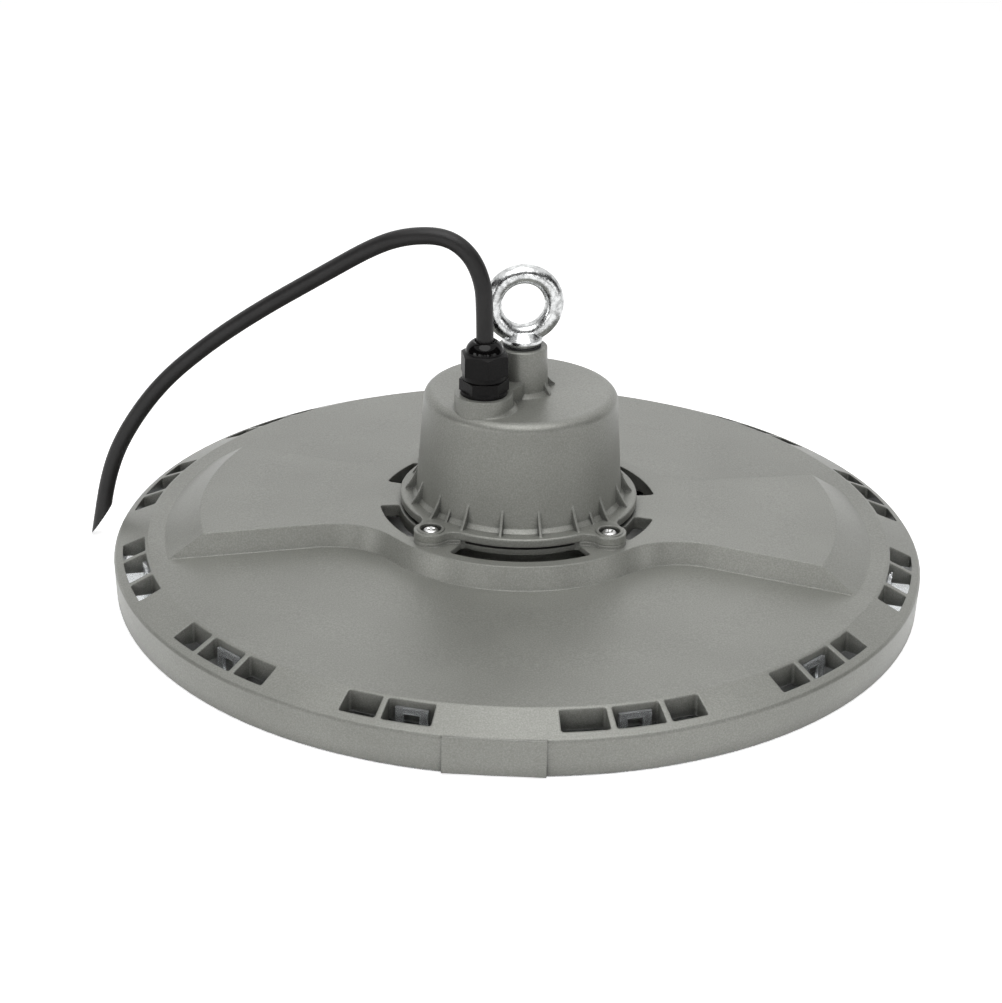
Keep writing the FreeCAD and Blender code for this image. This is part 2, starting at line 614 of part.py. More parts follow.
def screw(name, size, length, x="0", y="0", seat="0", way=1):
    """Pan head screw with its head's underside at seat; way is 1 head up, -1 head down."""
    head, rise, shank = f"{size}_head", f"{size}_head_height", f"{size}_shank"
    corners = [("0", f"{way} * (0 - {length})"), (f"{shank} - 0.5", f"{way} * (0 - {length})"),
               (shank, f"{way} * (0.6 - {length})"), (shank, "0"), (head, "0"),
               (head, f"{way} * {rise} * 0.45"), (f"{head} * 0.6", f"{way} * {rise}"),
               ("0", f"{way} * {rise}")]
    body = turned(name, corners)
    place(body, x, y, seat)
    return body


def screw_ring(name, size, length, circle, seat, count, angle):
    """Screws on a circle, heads down."""
    body = new_body(name)
    sketch = new_sketch(body, "XY_Plane", f"{seat} - {size}_head_height", angle)
    draw_circle(sketch, *polar_point(circle, "0"), f"{size}_head")
    head = pad(body, sketch, f"{size}_head_height")
    stem = new_sketch(body, "XY_Plane", f"{seat} - 0.2", angle)
    draw_circle(stem, *polar_point(circle, "0"), f"{size}_shank")
    ring_of(body, [head, pad(body, stem, f"{length} + 0.2")], count)
    return body


keep("tray_screws", screw_ring("tray_screws_form", "m4", "tray_screw_length", tray_screw_circle, tray_foot,
                               "tray_screw_count", "tray_screw_angle"))
keep("board_screws", screw_ring("board_screws_form", "m3", "board_thickness + tray_thickness - slack",
                                "board_screw_circle", board_foot, "board_screw_count",
                                "board_screw_angle"))


# ---- driver housing -------------------------------------------------------------------

def ear():
    """Housing ear with a raised land round its screw seat."""
    x, y = polar_point("ear_circle", "ear_angle")
    land = cylinder("ear_land_ring", "ear_land", "flange_top + ear_land_height - housing_seat", x, y,
                    "housing_seat")
    return fuse("ear", ear_form("ear_plan", "housing_seat", "flange_top - housing_seat"), land)


def foot_rib(name, reach, height):
    """Thin rib that runs down the wall onto the flange along a hollow curve."""
    body = new_body(name)
    sketch = new_sketch(body, "XZ_Plane")
    inside, foot = "wall_foot_radius - housing_wall / 2", "flange_top - edge_break"
    draw_loop(sketch, [(inside, foot), (f"strip_radius + {reach}", foot),
                       (f"strip_radius + {reach} - rib_toe", "flange_top + rib_toe", "-1 * rib_curve"),
                       ("wall_foot_radius - rib_toe", f"flange_top + {height}"),
                       (inside, f"flange_top + {height}")])
    return body, pad(body, sketch, "rib_thickness", both_ways=True)


def about_z(body, feature, count):
    """Repeat a rib, drawn in a vertical plane, about Z."""
    pattern = body.newObject("PartDesign::PolarPattern", body.Name + "_about")
    pattern.Originals = [feature]
    pattern.Axis = ([p for p in body.Origin.OriginFeatures if p.Role == "Z_Axis"][0], [""])
    pattern.Angle = 360
    tie(pattern, "Occurrences", count)
    body.Tip = pattern
    return body


def boss_gusset(side):
    """Thin hollow-backed web between the eye boss and the roof."""
    body = new_body(f"gusset_{side}")
    sketch = new_sketch(body, "XZ_Plane")
    inside, foot, top = "boss_top_radius - rib_thickness", "roof - edge_break", "roof + gusset_height"
    draw_loop(sketch, [(inside, foot), (f"gusset_{side}_foot", foot),
                       (f"gusset_{side}_foot", "roof + rib_toe", "-1 * gusset_curve"),
                       ("boss_top_radius", top), (inside, top)])
    pad(body, sketch, "rib_thickness", both_ways=True)
    tie(body, "Placement.Rotation.Angle", f"gusset_{side}")
    return body


def driver_housing():
    inside_foot, inside_top = "wall_foot_radius - housing_wall", "wall_top_radius - housing_wall"
    ceiling = "roof - roof_thickness"
    bell = turned("bell", [
        (inside_foot, "housing_seat"), ("flange_radius", "housing_seat"),
        ("flange_radius", "flange_top - edge_break"), ("flange_radius - edge_break", "flange_top"),
        ("strip_radius", "flange_top"), ("wall_foot_radius", "strip_top"),
        ("wall_top_radius", "roof - roof_round", "roof_round"),
        ("wall_top_radius - roof_round", "roof"), ("0", "roof"), ("0", ceiling),
        (inside_top, ceiling)])
    foot_reach = "boss_foot_radius + flare_reach"
    boss = turned("eye_boss", [
        ("0", ceiling), (foot_reach, ceiling), (foot_reach, "roof"),
        ("boss_foot_radius", "roof + flare_height"), ("boss_top_radius", "boss_top - edge_break"),
        ("boss_top_radius - edge_break", "boss_top"), ("0", "boss_top")])
    rise = f"gland_seat - ({ceiling})"
    gland_pad = cylinder("gland_pad", "gland_pad_radius", rise, "gland_x", "gland_y", ceiling)
    span = "sqrt(gland_x^2 + gland_y^2)"
    flare = doc.addObject("Part::Cone", "gland_pad_flare")
    tie(flare, "Radius1", "gland_pad_radius + flare_reach")
    tie(flare, "Radius2", "gland_pad_radius")
    tie(flare, "Height", "flare_height")
    place(flare, f"gland_x * (1 - flare_reach / {span})", f"gland_y * (1 - flare_reach / {span})", "roof")
    bridge = box("pad_bridge", span, "gland_bridge", rise)
    turn = "atan2(0 - gland_y; 0 - gland_x)"
    tie(bridge, "Placement.Rotation.Angle", turn)
    place(bridge, f"gland_x + gland_bridge / 2 * sin({turn})", f"gland_y - gland_bridge / 2 * cos({turn})",
          ceiling)
    ribs, rib = foot_rib("foot_ribs", "rib_reach", "rib_height")
    about_z(ribs, rib, "rib_count")
    slanted, _ = foot_rib("ear_rib", "ear_rib_reach", "ear_rib_height")
    tie(slanted, "Placement.Rotation.Angle", "ear_angle")
    gussets = [boss_gusset(side) for side in ("front", "side", "rear")]
    shell = fuse("housing_solid", bell, boss, gland_pad, flare, bridge, ribs,
                 four_ways("ear_ribs", slanted), *gussets, four_ways("ears", ear()))
    x, y = polar_point("ear_circle", "ear_angle")
    hole = cylinder("ear_clearance", "m4_shank + slack", "30", x, y, "housing_seat - 5")
    recess = cylinder("ear_recess", "ear_recess_radius", "20", x, y, "flange_top + ear_land_height - ear_recess")
    thread = cylinder("eye_thread_hole", "eye_thread_radius + hole_slack", "eye_thread_length + 1",
                      "0", "0", "boss_top - eye_thread_length - 1")
    inlet = cylinder("inlet_hole", "gland_thread_radius + hole_slack", "60", "gland_x", "gland_y",
                     f"{ceiling} - 20")
    cavity = turned("housing_cavity", [("0", "housing_seat - 1"), (inside_foot, "housing_seat - 1"),
                                       (inside_top, ceiling), ("0", ceiling)])
    return cut("housing", shell, four_ways("ear_cuts", fuse("ear_cut", hole, recess)), thread, inlet, cavity)


keep("driver_housing", driver_housing())
keep("housing_gasket", plate("housing_gasket_form", [
    ("0", "0", "housing_gasket_inner + housing_gasket_width"), ("0", "0", "housing_gasket_inner")],
    "hub_top", "housing_seat - hub_top"))
ear_x, ear_y = polar_point("ear_circle", "ear_angle")
keep("housing_screws", four_ways("housing_screws_form", screw(
    "housing_screw", "m4", "m4_length", ear_x, ear_y, "flange_top + ear_land_height - ear_recess")))


# ---- eye bolt -------------------------------------------------------------------------

def eye_bolt():
    seat = "boss_top + eye_seal_thickness"
    stem = turned("eye_stem", [
        ("0", "0 - eye_thread_length - eye_seal_thickness"),
        ("eye_thread_radius", "0 - eye_thread_length - eye_seal_thickness"), ("eye_thread_radius", "0"),
        ("eye_seat_radius", "0"), ("eye_collar_radius", "1.8"), ("eye_collar_radius", "eye_collar_height"),
        ("eye_section + 2", "eye_neck_height"), ("0", "eye_neck_height")])
    place(stem, "0", "0", seat)
    ring = doc.addObject("Part::Torus", "eye_ring")
    tie(ring, "Radius1", "eye_ring_radius")
    tie(ring, "Radius2", "eye_section")
    ring.Placement = FreeCAD.Placement(V(0, 0, 0), FreeCAD.Rotation(V(1, 0, 0), 90))
    place(ring, "0", "0", f"{seat} + eye_lift")
    bolt = fuse("eye", stem, ring)
    tie(bolt, "Placement.Rotation.Angle", "eye_turn")
    return bolt


keep("eye_bolt", eye_bolt())
keep("eye_bolt_seal", plate("eye_seal_form", [
    ("0", "0", "eye_seat_radius + 0.4"), ("0", "0", "eye_thread_radius + hole_slack")],
    "boss_top", "eye_seal_thickness"))


# ---- cable gland ----------------------------------------------------------------------

def on_gland(solid):
    place(solid, "gland_x", "gland_y", "0")
    return solid


def hex_piece(name, foot, top, bevel_top, bevel_foot, turn):
    """Hexagon between two heights, its corners turned off at either end."""
    prism = hexagon(name + "_prism", "gland_hex", f"{top} - ({foot})", "0", "0", foot, turn)
    corner, flat = "(gland_hex / sqrt(3))", "(gland_hex / 2)"
    turning = turned(name + "_turning", [
        ("0", foot), (f"{corner} - {bevel_foot}", foot), (corner, f"{foot} + {bevel_foot} * 0.5"),
        (corner, f"{top} - {bevel_top} * 0.5"), (f"{corner} - {bevel_top}", top), ("0", top)])
    return common(name, prism, turning)


def gland_pieces():
    washer_top = "(gland_seat + gland_washer_thickness)"
    body_top = f"({washer_top} + gland_body_height)"
    bore = "gland_bore"
    keep("gland_washer", on_gland(plate("gland_washer_form", [
        ("0", "0", "gland_washer_radius"), ("0", "0", "gland_thread_radius + hole_slack")],
        "gland_seat", "gland_washer_thickness")))
    skirt = turned("gland_turned", [
        (bore, f"{washer_top} - gland_thread_length"),
        ("gland_thread_radius", f"{washer_top} - gland_thread_length"),
        ("gland_thread_radius", washer_top), ("gland_washer_radius", washer_top),
        ("gland_washer_radius", f"{washer_top} + 0.9"), ("gland_hex / 2 - 0.3", f"{washer_top} + 0.9"),
        ("gland_hex / 2 - 0.3", body_top), ("gland_neck_radius - 1.6", body_top),
        ("gland_neck_radius - 1.6", f"{body_top} + gland_neck_height"),
        ("gland_neck_radius - 3.0", f"{body_top} + gland_neck_height"),
        ("gland_neck_radius - 3.0", f"{washer_top} + 2"), (bore, f"{washer_top} + 2")])
    hexed = hex_piece("gland_hex_form", f"{washer_top} + 0.5", body_top, "0.6", "0.4", "2")
    drill = cylinder("gland_drill", "gland_neck_radius - 3.0", "40", "0", "0", f"{washer_top} + 2")
    drill_low = cylinder("gland_drill_low", bore, "60", "0", "0", "gland_seat - 30")
    body = cut("gland_body_form", fuse("gland_body_solid", skirt, hexed), drill, drill_low)
    keep("gland_body", on_gland(body))
    keep("gland_seal", on_gland(turned("gland_seal_form", [
        ("cable_radius", f"{washer_top} + 2.2"), ("gland_neck_radius - 3.2", f"{washer_top} + 2.2"),
        ("gland_neck_radius - 3.2", f"{body_top} + gland_neck_height"),
        ("cable_radius", f"{body_top} + gland_neck_height")])))
    inner = "(gland_neck_radius - 1.4)"
    lip = "(dome_nut_top - 1.8)"
    nut = turned("dome_nut_turned", [
        (inner, "dome_nut_seat"), ("dome_nut_flange_radius", "dome_nut_seat"),
        ("dome_nut_flange_radius", "dome_nut_seat + dome_nut_flange"),
        ("dome_nut_dome_radius", "dome_nut_seat + dome_nut_flange"),
        ("dome_nut_dome_radius", "dome_nut_hex_top + 0.4", "dome_nut_top - dome_nut_hex_top + 1.2"),
        ("gland_bore + 0.9", "dome_nut_top"), ("gland_bore", "dome_nut_top"), ("gland_bore", lip),
        (inner, lip)])
    nut_hex = hex_piece("dome_nut_hex_form", "dome_nut_seat + dome_nut_flange", "dome_nut_hex_top",
                        "2.2", "0.2", "30 + 9")
    core = cylinder("dome_nut_core", inner, f"{lip} - dome_nut_seat + 20", "0", "0", "dome_nut_seat - 20")
    keep("gland_dome_nut", on_gland(cut("dome_nut_form", fuse("dome_nut_solid", nut, nut_hex), core)))
    lock_top = "(roof - roof_thickness)"
    lock = cut("locknut_form", hex_piece("locknut_hex", f"{lock_top} - locknut_height", lock_top,
                                         "0.8", "0.8", "0"),
               cylinder("locknut_bore", "gland_thread_radius + hole_slack", "40", "0", "0",
                        f"{lock_top} - 20"))
    keep("gland_locknut", on_gland(lock))


gland_pieces()


# ---- supply cable ---------------------------------------------------------------------

# The cable climbs out of the gland, turns over and falls past the disc's edge.
route = [
    (-17.4, -24.5, 126.2), (-17.4, -24.5, 139.5), (-18.8, -23.8, 153.5), (-26.2, -22.1, 165.7),
    (-38.5, -19.7, 172.8), (-52.6, -16.4, 173.2), (-66.7, -12.1, 167.0), (-91.0, -4.0, 149.0),
    (-121.4, 5.5, 127.8), (-147.0, 14.6, 107.0), (-170.5, 22.6, 84.0), (-189.0, 28.2, 56.5),
    (-198.4, 31.2, 33.5), (-201.2, 32.0, 18.7)]


def rounded_path(points):
    """Straight runs joined by tangent arcs, with the arcs' radii."""
    corners = [V(*point) for point in points]
    edges, radii, start = [], [], corners[0]
    for before, corner, after in zip(corners, corners[1:], corners[2:]):
        back, ahead = before - corner, after - corner
        reach = 0.45 * min(back.Length, ahead.Length)
        back.normalize()
        ahead.normalize()
        half_turn = (math.pi - back.getAngle(ahead)) / 2
        radii.append(reach / math.tan(half_turn))
        enter, leave = corner + back * reach, corner + ahead * reach
        inward = (back + ahead).normalize()
        centre = corner + inward * math.hypot(reach, radii[-1])
        edges.append(Part.makeLine(start, enter))
        edges.append(Part.Arc(enter, centre - inward * radii[-1], leave).toShape())
        start = leave
    edges.append(Part.makeLine(start, corners[-1]))
    return Part.Wire(edges), radii


def free_cable():
    path, radii = rounded_path(route)
    radius = number("cable_radius")
    ring = Part.Wire([Part.makeCircle(radius, V(*route[0]), V(*route[1]) - V(*route[0]))])
    tube = path.makePipeShell([ring], True, False)
    body = doc.addObject("Part::Feature", "free_cable")
    body.Shape = tube
    print("cable radii", [round(bend, 1) for bend in radii])
    print("cable length", round(path.Length, 1), "volume against section",
          round(tube.Volume / (math.pi * radius ** 2 * path.Length), 4))
    return body


keep("cable_entry", on_gland(cylinder("cable_entry_form", "cable_radius", f"{route[0][2]} - cable_entry_foot",
                                      "0", "0", "cable_entry_foot")))
parts["cable_entry"].setExpression("Placement.Base.z", bind("cable_entry_foot"))
keep("supply_cable", free_cable())


def cable_end():
    """Last stretch of the sheath, cut off on a long slant that faces the disc."""
    tip, before = V(*route[-1]), V(*route[-2])
    along = (tip - before).normalize()
    turn = FreeCAD.Rotation(V(0, 0, 1), along)
    stub = doc.addObject("Part::Cylinder", "cable_stub")
    tie(stub, "Radius", "cable_radius")
    tie(stub, "Height", "cable_cut")
    stub.Placement = FreeCAD.Placement(tip, turn)
    slant = doc.addObject("Part::Box", "cable_slant")
    for side in ("Length", "Width", "Height"):
        tie(slant, side, "3 * cable_cut")
    outward = V(1, 0, 0) - along * along.x
    outward.normalize()
    radius, drop = number("cable_radius"), number("cable_cut")
    low = tip + along * drop - outward * radius
    high = tip + along * 1.0 + outward * radius
    lean = (high - low).normalize()
    aside = lean.cross(along.cross(outward)).normalize()
    face = FreeCAD.Rotation(aside, lean.cross(aside), lean, "ZXY")
    centre = low + lean.cross(aside) * (-1.5 * drop) - lean * drop
    slant.Placement = FreeCAD.Placement(centre, face)
    return cut("cable_end_form", stub, slant)


keep("cable_end", cable_end())


# ---- driver in the housing ------------------------------------------------------------

board_top = "(driver_board_seat + board_thickness)"
post = polar_point("driver_post_circle", "0")
driver_board_disc = plate("driver_board_disc", [("0", "0", "driver_board_radius")], "driver_board_seat",
                          "board_thickness")
keep("driver_board", drilled("driver_board_form", driver_board_disc, [
    ("driver_post_circle", "3", "driver_post_angle", "m3_shank + hole_slack")],
    "driver_board_seat", "board_thickness"))


def driver_screws():
    """Three board screws, heads up."""
    body = new_body("driver_screws_form")
    head = new_sketch(body, "XY_Plane", board_top, "driver_post_angle")
    draw_circle(head, *post, "m3_head")
    heads = pad(body, head, "m3_head_height")
    stem = new_sketch(body, "XY_Plane", f"{board_top} - m3_length", "driver_post_angle")
    draw_circle(stem, *post, "m3_shank")
    ring_of(body, [heads, pad(body, stem, "m3_length + 0.2")], "3")
    return body


keep("driver_screws", driver_screws())

half_core, half_wide = "transformer_length / 2", "transformer_width / 2"
core_form = box("core_form", "transformer_length", "transformer_width", "transformer_height",
                "transformer_x", "transformer_y", board_top)
windows = [box(f"core_window_{side}", "transformer_length * 0.16", "transformer_width + 2",
               "transformer_height * 0.55",
               f"transformer_x {side} transformer_length * 0.24", "transformer_y",
               f"{board_top} + transformer_height * 0.225") for side in "+-"]
core_shape = cut("core_shape", core_form, *windows)
keep("transformer_core", core_shape)
coil_outer = box("coil_outer", "transformer_length * 0.6", "transformer_width + 5",
                 "transformer_height * 0.53", "transformer_x", "transformer_y",
                 f"{board_top} + transformer_height * 0.235")
keep("transformer_coil", cut("coil_form", coil_outer, core_shape))

capacitors = [cylinder(f"can_{index}", "capacitor_radius", height, x, y, board_top)
              for index, (x, y, height) in enumerate((
                  ("capacitor_x", "capacitor_y", "capacitor_height"),
                  ("capacitor_x - 14", "capacitor_y + 5", "capacitor_height - 5")))]
group = doc.addObject("Part::Compound", "capacitor_group")
group.Links = capacitors
keep("capacitors", group)

keep("choke", plate("choke_form", [("choke_x", "choke_y", "choke_radius + choke_wire"),
                                   ("choke_x", "choke_y", "choke_radius - choke_wire")],
                    board_top, "2 * choke_wire"))

near, far = "(terminal_reach - terminal_width / 2)", "(terminal_reach + terminal_width / 2)"
half_block = "terminal_length / 2"
block_turn = "atan2(gland_y; gland_x)"
block = plate("terminal_form", [[(near, f"0 - {half_block}"), (far, f"0 - {half_block}"),
                                 (far, half_block), (near, half_block)]],
              board_top, f"cable_entry_foot - {board_top}", None, block_turn)
pockets = [plate(f"terminal_pocket_{side}", [[
    (f"{near} + 2", f"0 {side} terminal_length / 2 * 0.55 - 1.6"),
    (f"{far} - 2", f"0 {side} terminal_length / 2 * 0.55 - 1.6"),
    (f"{far} - 2", f"0 {side} terminal_length / 2 * 0.55 + 1.6"),
    (f"{near} + 2", f"0 {side} terminal_length / 2 * 0.55 + 1.6")]],
    "cable_entry_foot - 6", "8", None, block_turn) for side in "+-"]
keep("terminal_block", cut("terminal", block, *pockets))

lead_wall, lead_lip = "(lead_radius + grommet_wall)", "(lead_radius + grommet_wall + grommet_lip)"
skin_foot = "(hub_top - skin)"
keep("output_lead", cylinder("output_lead_form", "lead_radius", "driver_board_seat - (tray_seat - tray_thickness)",
                             "lead_x", "0", "tray_seat - tray_thickness"))
grommet = turned("grommet_form", [
    ("lead_radius", f"{skin_foot} - grommet_lip"), (lead_lip, f"{skin_foot} - grommet_lip"),
    (lead_lip, skin_foot), (lead_wall, skin_foot), (lead_wall, "hub_top"), (lead_lip, "hub_top"),
    (lead_lip, "hub_top + grommet_lip"), ("lead_radius", "hub_top + grommet_lip")])
place(grommet, "lead_x", "0", "0")
keep("lead_grommet", grommet)


# ---- checks and files -----------------------------------------------------------------

doc.recompute()
for thing in doc.Objects:
    if "Invalid" in thing.State or "Error" in thing.State:
        raise RuntimeError(f"{thing.Name} failed to rebuild")
for node, thing in parts.items():
    if thing.Shape.isNull() or not thing.Shape.isValid() or not thing.Shape.Solids:
        raise RuntimeError(f"{node} has no sound shape")

os.makedirs("parts", exist_ok=True)
for node, thing in parts.items():
    thing.Shape.exportStep(f"parts/{node}.step")
print(len(parts), "sub-parts written")
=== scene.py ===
import bpy
import bmesh
import json
import math
from mathutils import Matrix, Vector


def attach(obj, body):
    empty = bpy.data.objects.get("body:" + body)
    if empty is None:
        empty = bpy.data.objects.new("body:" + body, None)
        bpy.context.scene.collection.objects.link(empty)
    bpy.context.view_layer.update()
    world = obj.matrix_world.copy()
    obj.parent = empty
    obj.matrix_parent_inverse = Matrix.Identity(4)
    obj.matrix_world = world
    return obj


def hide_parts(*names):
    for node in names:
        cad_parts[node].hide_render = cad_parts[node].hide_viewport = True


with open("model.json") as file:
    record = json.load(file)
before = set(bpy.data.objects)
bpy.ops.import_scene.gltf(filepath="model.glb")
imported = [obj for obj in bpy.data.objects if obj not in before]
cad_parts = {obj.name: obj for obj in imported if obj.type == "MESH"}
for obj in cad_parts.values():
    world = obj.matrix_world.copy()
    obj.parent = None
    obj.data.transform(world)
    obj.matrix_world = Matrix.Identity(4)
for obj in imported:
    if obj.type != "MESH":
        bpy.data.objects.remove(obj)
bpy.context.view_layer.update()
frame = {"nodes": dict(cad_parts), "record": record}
cadNodes = frame["nodes"]


cameraSet = {
    "place": (-0.02517, -0.97446, 0.4846),
    "aim": (-0.00872, -0.03072, 0.05),
    "roll": 1.245,     # degrees
    "lens": 81.3,      # mm
    "sensor": 36,      # mm
    "farthest": 20,
}


def makeCamera():
    data = bpy.data.cameras.new("studioCamera")
    data.lens = cameraSet["lens"]
    data.sensor_width = cameraSet["sensor"]
    data.clip_end = cameraSet["farthest"]
    camera = bpy.data.objects.new("studioCamera", data)
    bpy.context.collection.objects.link(camera)
    place = Vector(cameraSet["place"])
    turn = (Vector(cameraSet["aim"]) - place).to_track_quat("-Z", "Y").to_matrix()
    turn = turn @ Matrix.Rotation(math.radians(cameraSet["roll"]), 3, "Z")
    camera.matrix_world = Matrix.Translation(place) @ turn.to_4x4()
    bpy.context.scene.camera = camera


makeCamera()
print("camera set")


flexSet = {
    "radius": 0.0039,
    "length": 0.2966,
    "route": [    # from the gland's nut, over the arch and down to the cut end
        (-0.0174, -0.0245, 0.1262), (-0.0176, -0.0245, 0.1395), (-0.0186, -0.0238, 0.1535),
        (-0.0244, -0.0223, 0.1660), (-0.0352, -0.0202, 0.1733), (-0.0515, -0.0166, 0.1722),
        (-0.0667, -0.0121, 0.1660), (-0.0910, -0.0040, 0.1490), (-0.1214, 0.0055, 0.1278),
        (-0.1470, 0.0146, 0.1070), (-0.1705, 0.0226, 0.0840), (-0.1890, 0.0282, 0.0565),
        (-0.1984, 0.0312, 0.0335), (-0.2012, 0.0320, 0.0187)],
    "smoothness": 12,     # steps between route points
    "roundness": 6,       # steps round a quarter of the tube
}


def makeFlex():
    data = bpy.data.curves.new("supplyFlex", "CURVE")
    data.dimensions = "3D"
    data.resolution_u = flexSet["smoothness"]
    data.bevel_depth = 1.0     # times each point's own radius
    data.bevel_resolution = flexSet["roundness"]
    data.use_fill_caps = True
    spline = data.splines.new("NURBS")
    spline.points.add(len(flexSet["route"]) - 1)
    for point, place in zip(spline.points, flexSet["route"]):
        point.co = (*place, 1)
        point.radius = flexSet["radius"]
    spline.order_u = 3
    spline.use_endpoint_u = True
    flex = bpy.data.objects.new("supplyFlex", data)
    bpy.context.collection.objects.link(flex)
    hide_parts("supply_cable")
    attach(flex, "root")
    return flex


supplyFlex = makeFlex()
print("flex laid")


crossScrewSet = {
    "circle": 0.0609,      # radius that the screws stand on
    "angles": (48.2, 131.8, 228.2, 311.8),    # degrees
    "seat": 0.0405,        # height of the ears
    "head": 0.0035,
    "rise": 0.0024,
    "crown": 0.55,         # share of the head's radius that is domed
    "crownRise": 0.58,     # share of the head's rise that is domed
    "rim": 0.0002,
    "shank": 0.002,
    "length": 0.012,
    "tip": (0.0005, 0.0006),    # chamfer, inward and along
    "crossWidth": 0.0009,
    "crossReach": 0.0021,
    "crossDepth": 0.0017,
    "crossFoot": (0.6, 0.35),   # the recess narrows to these shares of its width and reach
    "turn": 20.0,          # degrees, the first screw's cross
    "turnMore": 37.0,      # degrees, from each screw to the next
    "around": 40,
    "domeSteps": 9,
}


def makeCrossScrew():
    # one pan head screw with a cross recess, its head's underside at the origin
    look = crossScrewSet
    head, rise, shank, foot, rim = (look[size] for size in ("head", "rise", "shank", "length", "rim"))
    inward, along = look["tip"]
    profile = [(0, -foot), (shank - inward, -foot), (shank, along - foot), (shank, 0),
               (head - rim, 0), (head, rim)]
    for step in range(look["domeSteps"]):
        turn = math.radians(90 * step / look["domeSteps"])
        profile.append((head * (1 - look["crown"] + look["crown"] * math.cos(turn)),
                        rise * (1 - look["crownRise"] + look["crownRise"] * math.sin(turn))))
    profile.append((0, rise))
    screw = turnProfile("crossScrew", profile, look["around"])
    cutter = bmesh.new()
    for quarter in (0, 90):
        arm = bmesh.ops.create_cube(cutter, size=1)["verts"]
        for corner in arm:
            high = corner.co.z > 0
            widthShare, reachShare = (1, 1) if high else look["crossFoot"]
            corner.co = Vector((corner.co.x * 2 * look["crossReach"] * reachShare,
                                corner.co.y * look["crossWidth"] * widthShare,
                                rise + rim if high else rise - look["crossDepth"]))
        bmesh.ops.rotate(cutter, verts=arm, cent=(0, 0, 0),
                         matrix=Matrix.Rotation(math.radians(quarter), 3, "Z"))
    recess = addPiece("crossRecess", cutter)
    cut = screw.modifiers.new("recess", "BOOLEAN")
    cut.operation = "DIFFERENCE"
    cut.object = recess
    cut.solver = "EXACT"
    cut.use_self = True
    return screw, recess


def turnProfile(name, profile, around):
    # turn a half section, given in radius and height, about Z
    shape = bmesh.new()
    rings = []
    for radius, height in profile:
        if radius == 0:
            rings.append([shape.verts.new((0, 0, height))])
            continue
        rings.append([shape.verts.new((radius * math.cos(math.tau * step / around),
                                       radius * math.sin(math.tau * step / around), height))
                      for step in range(around)])
    for low, high in zip(rings, rings[1:]):
        for step in range(around):
            ahead = (step + 1) % around
            corners = [low[step % len(low)], low[ahead % len(low)], high[ahead % len(high)],
                       high[step % len(high)]]
            shape.faces.new(list(dict.fromkeys(corners)))
    return addPiece(name, shape)


def addPiece(name, shape):
    data = bpy.data.meshes.new(name)
    shape.to_mesh(data)
    shape.free()
    for face in data.polygons:
        face.use_smooth = True
    piece = bpy.data.objects.new(name, data)
    bpy.context.collection.objects.link(piece)
    return piece


def spreadCopies(name, model, places, finish):
    # Geometry Nodes: a copy of the model on every point, made real and given its finish
    seeds = bpy.data.meshes.new(name)
    seeds.from_pydata([place for place, turn in places], [], [])
    turns = seeds.attributes.new("turn", "FLOAT", "POINT")
    turns.data.foreach_set("value", [math.radians(turn) for place, turn in places])
    holder = bpy.data.objects.new(name + "Seeds", seeds)
    bpy.context.collection.objects.link(holder)
    group = bpy.data.node_groups.new(name + "Spread", "GeometryNodeTree")
    sockets = {"Seeds": "NodeSocketGeometry", "Model": "NodeSocketObject", "Finish": "NodeSocketMaterial"}
    for label, kind in sockets.items():
        group.interface.new_socket(label, in_out="INPUT", socket_type=kind)
    group.interface.new_socket("Copies", in_out="OUTPUT", socket_type="NodeSocketGeometry")
    start = group.nodes.new("NodeGroupInput")
    end = group.nodes.new("NodeGroupOutput")
    source = group.nodes.new("GeometryNodeObjectInfo")
    turn = group.nodes.new("GeometryNodeInputNamedAttribute")
    turn.data_type = "FLOAT"
    turn.inputs["Name"].default_value = "turn"
    spin = group.nodes.new("ShaderNodeCombineXYZ")
    copies = group.nodes.new("GeometryNodeInstanceOnPoints")
    real = group.nodes.new("GeometryNodeRealizeInstances")
    painted = group.nodes.new("GeometryNodeSetMaterial")
    links = [
        (start.outputs["Seeds"], copies.inputs["Points"]),
        (start.outputs["Model"], source.inputs["Object"]),
        (source.outputs["Geometry"], copies.inputs["Instance"]),
        (turn.outputs["Attribute"], spin.inputs["Z"]),
        (spin.outputs["Vector"], copies.inputs["Rotation"]),
        (copies.outputs["Instances"], real.inputs["Geometry"]),
        (real.outputs["Geometry"], painted.inputs["Geometry"]),
        (start.outputs["Finish"], painted.inputs["Material"]),
        (painted.outputs["Geometry"], end.inputs["Copies"])]
    for source_socket, target_socket in links:
        group.links.new(source_socket, target_socket)
    spread = holder.modifiers.new("spread", "NODES")
    spread.node_group = group
    names = {item.name: item.identifier for item in group.interface.items_tree}
    spread[names["Model"]] = model
    spread[names["Finish"]] = finish
    bpy.context.view_layer.update()
    seen = bpy.context.evaluated_depsgraph_get()
    mesh = bpy.data.meshes.new_from_object(holder.evaluated_get(seen))
    mesh.name = name
    bpy.data.objects.remove(holder)
    piece = bpy.data.objects.new(name, mesh)
    bpy.context.collection.objects.link(piece)
    return piece


def makeHousingScrews(finish):
    look = crossScrewSet
    screw, recess = makeCrossScrew()
    places = []
    for index, angle in enumerate(look["angles"]):
        bearing = math.radians(angle)
        places.append(((look["circle"] * math.cos(bearing), look["circle"] * math.sin(bearing),
                        look["seat"]), look["turn"] + look["turnMore"] * index))
    screws = spreadCopies("crossHeadScrews", screw, places, finish)
    for spare in (screw, recess):
        bpy.data.objects.remove(spare)
    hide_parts("housing_screws")
    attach(screws, "root")
    print("housing screws", len(screws.data.polygons), "faces")


